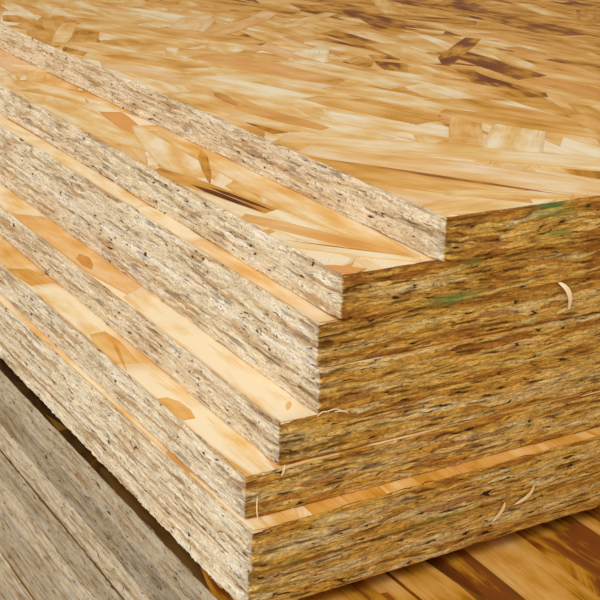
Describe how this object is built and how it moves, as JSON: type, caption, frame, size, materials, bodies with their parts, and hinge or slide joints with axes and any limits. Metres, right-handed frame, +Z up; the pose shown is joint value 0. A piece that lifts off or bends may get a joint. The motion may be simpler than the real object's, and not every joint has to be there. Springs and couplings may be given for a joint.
{
  "type": "stack of oriented strand boards",
  "caption": "Square-edged oriented strand boards piled flat: an unevenly stepped upper pack on thin strips over a squared lower pack.",
  "frame": {"origin": "on the floor, under the middle of the lower pack's underside", "axes": "+X along the boards towards the stepped corner's end, +Y across them, +Z up; the stepped corner is at +X and -Y"},
  "size_m": [2.5319, 1.3593, 0.366],
  "materials": {
    "strand_board": "unsanded pressed strands, matt, with sawn edges",
    "sawn_softwood": "rough sawn, matt"
  },
  "bodies": {
    "root": {"lower_board_01": "strand_board", "lower_board_02": "strand_board", "lower_board_03": "strand_board", "lower_board_04": "strand_board", "lower_board_05": "strand_board", "lower_board_06": "strand_board", "lower_board_07": "strand_board", "lower_board_08": "strand_board", "lower_board_09": "strand_board", "lower_board_10": "strand_board", "lower_board_11": "strand_board", "lower_board_12": "strand_board", "upper_board_1": "strand_board", "upper_board_2": "strand_board", "upper_board_3": "strand_board", "upper_board_4": "strand_board", "upper_board_5": "strand_board", "upper_board_6": "strand_board", "upper_board_7": "strand_board", "upper_board_8": "strand_board", "spacer_strip_1": "sawn_softwood", "spacer_strip_2": "sawn_softwood", "spacer_strip_3": "sawn_softwood"}
  },
  "joints": []
}
